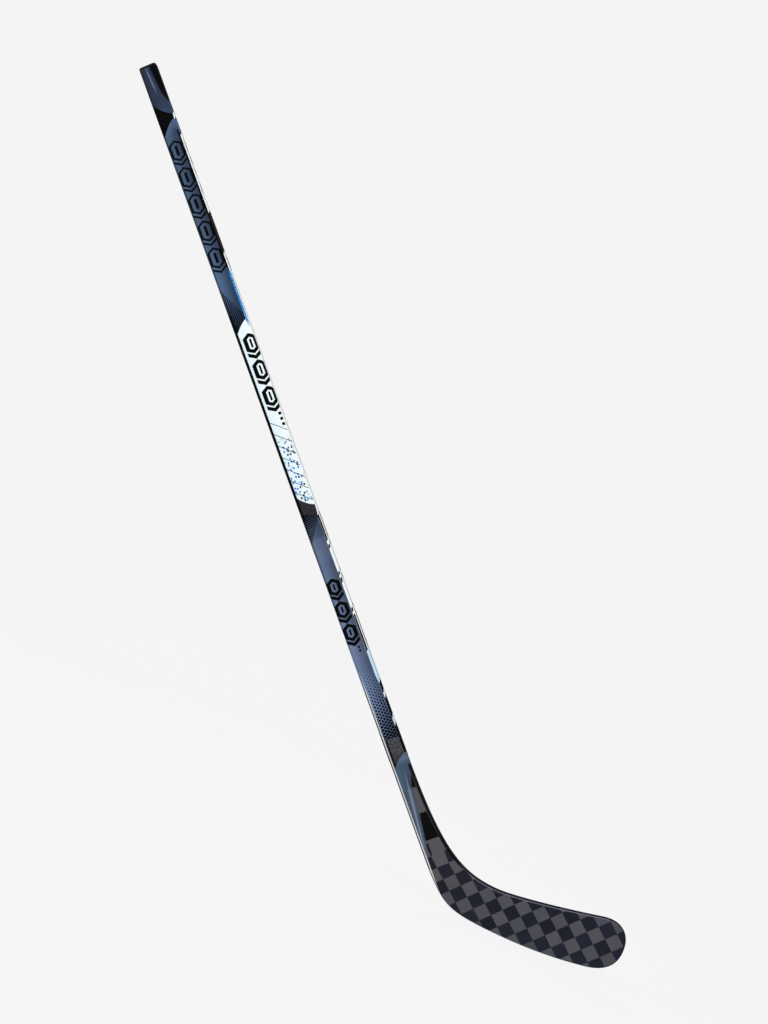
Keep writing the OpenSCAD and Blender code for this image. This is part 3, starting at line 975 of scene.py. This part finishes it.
def pinstripe_and_highlight(coat, places):
    """Pale line, part pinstripe, part painted highlight, and dark rim on the heel-side corner."""
    run = places.butt.between(*CORNER_LINE_RUN, 40)
    # dark rim, then the pale line that is part pinstripe and part painted highlight
    coat = coat.under(BLACK, places.across.below(CORNER_LINE[0] - 0.1, 0.4) * run)
    return coat.under(tone("#c2c5ca"), places.across.between(*CORNER_LINE, 0.4) * run)


print("artwork ready")

# %% [markdown]
# ## The checker weave
# The blade is skinned in spread-tow fabric: flat bands of carbon, each about 20 mm wide, woven
# over and under. Where a band lies across, its fibres catch the light differently, so the
# squares look dark and light; that difference is painted into their colours, a painted
# reflection. The squares are found by dividing the place on the blade by the two band
# directions, and each square gets fine lines along its own fibres as bump.

# %% Squares of the weave
WEAVE_ORIGIN, WEFT, WARP = (-120.4, 56.2), (13.3, 14.81), (15.38, -12.43)
FINE_TOW, LONG_TOW = 900, 16               # fibre grain across and along a band
area = WEFT[0] * WARP[1] - WEFT[1] * WARP[0]


class Weave:
    """Squares of the fabric: place within a square, its parity and its edge."""

    def __init__(self, places):
        dx, dz = places.x - WEAVE_ORIGIN[0], places.z - WEAVE_ORIGIN[1]
        self.u = (dx * WARP[1] - dz * WARP[0]) / area
        self.v = (dz * WEFT[0] - dx * WEFT[1]) / area
        row, column = self.u.math("FLOOR"), self.v.math("FLOOR")
        self.light = (row + column).repeat(2.0)
        number = self.u.node("CombineXYZ", {}, {0: row, 1: column})
        self.luck = number.node("TexWhiteNoise", {"noise_dimensions": "2D"}, {"Vector": number})
        off_middle = abs(self.u.repeat(1.0) - 0.5) | abs(self.v.repeat(1.0) - 0.5)
        self.seam = off_middle.past(0.488, 0.01)
        plane = self.u.node("CombineXYZ", {}, {0: self.u * FINE_TOW, 1: self.v * LONG_TOW})
        turned = self.u.node("CombineXYZ", {}, {0: self.u * LONG_TOW, 1: self.v * FINE_TOW})
        fibres = plane.noise(1.0, 3.0, 0.7), turned.noise(1.0, 3.0, 0.7)
        self.fibre = fibres[0] * self.light + fibres[1] * (1 - self.light)


print(f"weft {math.hypot(*WEFT):.1f} mm, warp {math.hypot(*WARP):.1f} mm")


# %% Colours of the weave and the large blocks above it
HOSEL_END, BLOCK_RUN, WEAVE_FROM = 1263, (1303, 1346), 1349
TAIL_END, TAIL_ROWS = 1389, (14, 33.6)     # one block runs on beside the first squares


def weave_tone(places, weave):
    """Colour of the squares, each a little different, and of the large blocks."""
    butt, across = places.butt, places.across
    # painted reflection: all squares are one carbon; dark and light stand for the light their
    # fibres catch
    dark = weave.luck.ramp([(0, tone("#0f1520")), (1, tone("#191f2e"))])
    light = weave.luck.ramp([(0, tone("#424048")), (0.5, tone("#4d4b52")),
                             (1, tone("#454653"))])
    light = light.under(tone("#575153"), butt.below(1420, 60) * 0.7)
    coat = dark.under(light, weave.light)
    coat = coat.under(tone("#6c6970"), weave.fibre.past(0.62, 0.3) * 0.22)
    coat = coat.under(tone("#0d0f15"), weave.seam * 0.45)
    grey = (butt / STICK_LEN).ramp(stops([(1263, "#575255"), (1346, "#535157")]))
    block = grey.under(BLACK, butt.between(*BLOCK_RUN, 0.6))
    tail = butt.below(TAIL_END, 0.6) * across.between(*TAIL_ROWS, 0.6)
    return coat.under(block, butt.below(WEAVE_FROM, 0.6) | tail)


print("weave starts", WEAVE_FROM - HOSEL_END, "mm past the end of the paint")


# %% Paint and painted highlight of the hosel
def hosel_paint(coat, places):
    """Slate paint with a black wedge, its painted highlight, and the end of the wrap."""
    butt, across = places.butt, places.across
    wedge = (across + (butt - 1231) * 0.33).past(29.5, 1.0) * butt.past(1228, 1.0)
    # painted highlight: a pale blue band on the hosel's face, brightest along one line
    highlight_band = (across + (butt - 1265) * 0.137).below(22.5, 1.6) * across.past(5.2, 1.0)
    highlight_band = highlight_band * butt.below(1360, 10) * butt.past(1262, 6)
    highlight_line = abs(across - 14.2 + (butt - 1270) * 0.105)
    sheen = highlight_line.below(0, 8.5).ramp([(0, tone("#424e62")), (0.6, tone("#62758f")),
                                     (1, tone("#8a9fbe"))])
    paint = slate(places).under(tone("#0a0b10"), wedge)
    coat = coat.under(paint, butt.below(HOSEL_END, 0.6)).under(sheen, highlight_band * 0.85)
    # painted highlight: the bright line within the band
    coat = coat.under(tone("#b4c4da"), highlight_line.below(0, 3.2) * butt.between(1244, 1346, 26) * 0.6)
    return coat.under(band_tone(places), (butt - places.swoop * RESIN_SWOOP).below(RESIN_END))


print("hosel paint from", RESIN_END, "to", HOSEL_END, "mm from the butt")


# %% Lines along the edges of the blade, two of them painted highlights
def blade_coat(places, weave, gap, is_upper):
    """Whole colour of the blade; gap is the distance from its edge."""
    butt, x = places.butt, places.x
    coat = hosel_paint(weave_tone(places, weave), places)
    for code, share, mask in (
            ("#0a0b0f", 1, is_upper * gap.below(3.8, 0.8) * butt.past(1226, 4)
             * butt.below(1408, 30)),
            ("#4a4850", 0.7, is_upper * gap.between(2.7, 3.5, 0.4)
             * butt.between(1236, 1340, 12)),
            ("#0d0e13", 0.9, gap.below(1.4, 0.6) * butt.past(1380, 30)),
            # painted highlight: a pale line along the rounded top edge
            ("#787385", 0.8, is_upper * gap.between(1.5, 2.7, 0.5) * x.between(-70, 150, 40)),
            # painted highlight: a pale blue line along the rounded sole
            ("#7f9cb8", 0.7, (1 - is_upper) * gap.below(1.1, 0.6) * x.between(-100, 95, 40))):
        coat = coat.under(tone(code), mask * share)
    return pinstripe_and_highlight(coat, places)


print("edge lines within 3.8 mm of the edge")


# %% Material of the blade
def blade_material():
    made, start, shader = new_material("satin_checker_weave", Coat_Roughness=0.15,
                                       Specular_IOR_Level=0.3)
    places = Places(start)
    weave = Weave(places)
    gap = start.node("Attribute", {"attribute_name": "rim_gap"}, {}, out="Fac")
    is_upper = start.node("Attribute", {"attribute_name": "upper_edge"}, {}, out="Fac")
    gloss = places.butt.below(1372, 30) | (is_upper * gap.below(3.8, 0.8))
    rough = 0.34 + weave.light * 0.06 + weave.fibre * 0.14
    connect(shader, Base_Color=blade_coat(places, weave, gap, is_upper),
            Roughness=rough - gloss * 0.12, Coat_Weight=gloss * 0.7 + 0.12,
            Normal=bumped(weave.fibre - weave.seam * 1.4, 0.22, 0.12))
    return made


blade.data.materials.append(blade_material())
print(blade.name, "is woven")


# %% Materials of the shaft and the wrap
def shaft_material():
    made, start, shader = new_material("glossy_shaft_paint", Coat_Roughness=0.07,
                                       Coat_Weight=0.4, Specular_IOR_Level=0.25)
    places = Places(start)
    ripple = places.object.noise(60, 2.0)
    grit = places.object.noise(1800, 2.0)
    connect(shader, Base_Color=pinstripe_and_highlight(whole_shaft(places), places),
            Roughness=0.3 + ripple * 0.12,
            Normal=bumped(ripple * 0.6 + grit * 0.4, 0.06, 0.15))
    return made


def wrap_material():
    made, start, shader = new_material("resin_wrap", Coat_Roughness=0.1, Coat_Weight=0.35,
                                       Specular_IOR_Level=0.25)
    places = Places(start)
    ribs = abs((places.butt + places.across * 0.2).repeat(1.6) - 0.8)
    paint = whole_shaft(places).under(band_tone(places), places.butt.past(RESIN_START, 1))
    swept = places.butt - places.swoop * RESIN_SWOOP
    paint = paint.under(slate(places), swept.past(RESIN_END))
    paint = pinstripe_and_highlight(paint, places)
    connect(shader, Base_Color=paint, Roughness=0.3 + places.object.noise(900) * 0.2,
            Normal=bumped(ribs * places.butt.past(RESIN_START, 2), 0.08, 0.1))
    return made


shaft_skin.data.materials.append(shaft_material())
joint_band.data.materials.append(wrap_material())
print("shaft and wrap painted")


# %% Material of the plug
def plug_material():
    made, start, shader = new_material("moulded_black_plug", Specular_IOR_Level=0.4)
    places = Places(start)
    grain = places.object.noise(1400, 3.0, 0.6)
    rubbed = places.object.noise(90, 3.0)
    base = rubbed.ramp([(0.3, tone("#121316")), (0.7, tone("#1d1e22"))])
    connect(shader, Base_Color=base, Roughness=0.42 + rubbed * 0.2,
            Normal=bumped(grain, 0.18, 0.12))
    return made


plug.data.materials.append(plug_material())
print(plug.name, "coloured")

# %% [markdown]
# ## Layers under the skin
# The measured model keeps every hidden layer: the carbon tube, the glue, the hosel's solid core,
# the blade's skins, foam, rib and toe filling. Most of them never show, and the tube's mouth
# shows when the plug comes out. Each gets the look of its own stuff all the same.

# %% Carbon, foam and glue
def carbon(name, light, dark, direction):
    """Unidirectional carbon with fibres along a direction."""
    made, start, shader = new_material(name, Coat_Weight=0.25, Coat_Roughness=0.2)
    places = Places(start)
    line = places.butt.node("CombineXYZ", {}, {0: places.butt * direction[0],
                                               1: places.across * direction[1], 2: places.y * 3})
    fibre = line.noise(1.0, 4.0, 0.7)
    connect(shader, Base_Color=fibre.ramp([(0.3, tone(dark)), (0.7, tone(light))]),
            Roughness=0.35 + fibre * 0.2, Normal=bumped(fibre, 0.2, 0.1))
    return made


def foam_material():
    made, start, shader = new_material("closed_cell_foam", Specular_IOR_Level=0.3)
    places = Places(start)
    cells = places.object.node("TexVoronoi", {}, {"Vector": places.object, "Scale": 900.0})
    connect(shader, Base_Color=cells.ramp([(0, tone("#cfc4a2")), (0.6, tone("#efe7cf"))]),
            Roughness=0.75 + cells * 0.1, Normal=bumped(cells, 0.5, 0.4))
    return made


def glue_material():
    made, start, shader = new_material("epoxy_glue", Specular_IOR_Level=0.5)
    cloudy = Places(start).object.noise(300, 3.0)
    connect(shader, Base_Color=cloudy.ramp([(0.3, tone("#a8945c")), (0.7, tone("#cdbb87"))]),
            Roughness=0.25 + cloudy * 0.2)
    return made


LAYERS = {
    "shaft_tube": carbon("carbon_tube", "#434347", "#1d1e21", (0.3, 8)),
    "hosel_core": carbon("hosel_laminate", "#3a3a3f", "#18191c", (8, 0.3)),
    "forehand_skin": carbon("forehand_carbon", "#35363c", "#17181c", (4, 0.4)),
    "backhand_skin": carbon("backhand_carbon", "#35363c", "#17181c", (0.4, 4)),
    "blade_rib": carbon("rib_carbon", "#3b3b41", "#1a1b1f", (0.3, 6)),
    "toe_fill": carbon("toe_fibre", "#34353b", "#17181c", (3, 3)),
    "foam_core_lower": foam_material(),
    "foam_core_upper": foam_material(),
    "tenon_bond": glue_material(),
}
for name, finish in LAYERS.items():
    node = frame["nodes"][name]
    node.data.materials.clear()
    node.data.materials.append(finish)
print(len(LAYERS), "hidden layers have their own look")

# %% [markdown]
# ## Riding on the bodies
# Each new piece rides on the body of the nodes that it stands for. Only the plug moves: it slides
# out along the shaft, and everything else is one stick.

# %% Bodies, slots and nodes stood for
for piece, body, slot, nodes in (
        (shaft_skin, "stick", "painted_ply", ("shaft_outer_ply",)),
        (joint_band, "stick", "wrap", ("joint_wrap",)),
        (blade, "stick", "checker_ply", ("forehand_ply", "backhand_ply", "sole_edge", "top_edge")),
        (plug, "end_plug", "plug", ("end_plug",))):
    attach(piece, body)
    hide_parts(*nodes)
    print(piece.name, "rides on", body, "and stands for", ", ".join(nodes))

# %% [markdown]
# ## Floor and light
# The stick stands on a wide pale floor that fades into an evenly pale surrounding, as in a
# studio. A large soft light above the front shows the colours plainly, one at each side rounds
# the corners, and one behind does the same for the back. A lamp's own image on clear coat would
# be a hard white bar, so the four are kept out of reflections.

# %% Pale floor
FLOOR_SIZE, FLOOR_GAP, GROUND = 9.0, 0.0005, "#f4f4f4"
clear_selection()
bpy.ops.mesh.primitive_circle_add(vertices=96, radius=FLOOR_SIZE, fill_type="NGON",
                                  location=(-0.4, 0, cad_low.z - FLOOR_GAP))
floor = bpy.context.active_object
floor.name = "pale_floor"
made, start, shader = new_material("pale_floor", Roughness=0.9, Specular_IOR_Level=0.1,
                                   Emission_Strength=0.98)
spot = start.node("TexCoord", {}, {}, out="Object")
gap = spot.node("VectorMath", {"operation": "LENGTH"}, {0: spot}, out="Value")
mottle = spot.noise(3.0, 2.0)
connect(shader, Base_Color=mottle.ramp([(0, tone("#303030")), (1, tone("#333333"))]),
        Emission_Color=gap.ramp([(0, tone(GROUND)), (1, tone("#f3f3f3"))]),
        Alpha=1 - (gap / FLOOR_SIZE).past(0.4, 0.7))
floor.data.materials.append(made)
floor.visible_glossy = False
print("floor", FLOOR_SIZE * 2, "m across at", round(floor.location.z, 4))

# %% Even surroundings
world = bpy.data.worlds.new("studio")
world.use_nodes = True
bpy.context.scene.world = world
tree = world.node_tree
tree.nodes.clear()
start = Wire(tree)
GLOW, MIRRORED = 0.25, 0.05                # strength as light, and in reflections
seen = start.node("Background", {}, {0: tone(GROUND), 1: 1.0})
lit = start.node("Background", {}, {0: (1, 1, 1, 1), 1: GLOW})
dim = start.node("Background", {}, {0: (1, 1, 1, 1), 1: MIRRORED})
ray = start.node("LightPath", {}, {}, out="Is Camera Ray")
both = start.node("MixShader", {}, {0: ray.other("Is Glossy Ray"), 1: lit, 2: dim})
both = start.node("MixShader", {}, {0: ray, 1: both, 2: seen})
tree.links.new(tree.nodes.new("ShaderNodeOutputWorld").inputs[0], both.socket)
print("surroundings lit at", GLOW)


# %% Soft lights
MIDDLE = Vector((-0.45, 0, 0.5))
LIGHTS = {"front_light": ((-0.5, -2.4, 3.3), (2.4, 1.2), 84),
          "heel_side_light": ((-3.0, -1.0, 1.2), (0.8, 1.8), 32),
          "toe_side_light": ((2.6, -1.6, 1.2), (1.0, 1.6), 36),
          "back_light": ((-0.8, 2.6, 2.2), (2.0, 1.2), 50)}
for name, (place, size, power) in LIGHTS.items():
    data = bpy.data.lights.new(name, "AREA")
    data.shape, data.size, data.size_y, data.energy = "RECTANGLE", *size, power
    light = bpy.data.objects.new(name, data)
    bpy.context.collection.objects.link(light)
    light.location = place
    light.rotation_euler = (MIDDLE - light.location).to_track_quat("-Z", "Y").to_euler()
    light.visible_glossy = False
bpy.context.scene.view_settings.view_transform = "Standard"
print(len(LIGHTS), "soft lights")
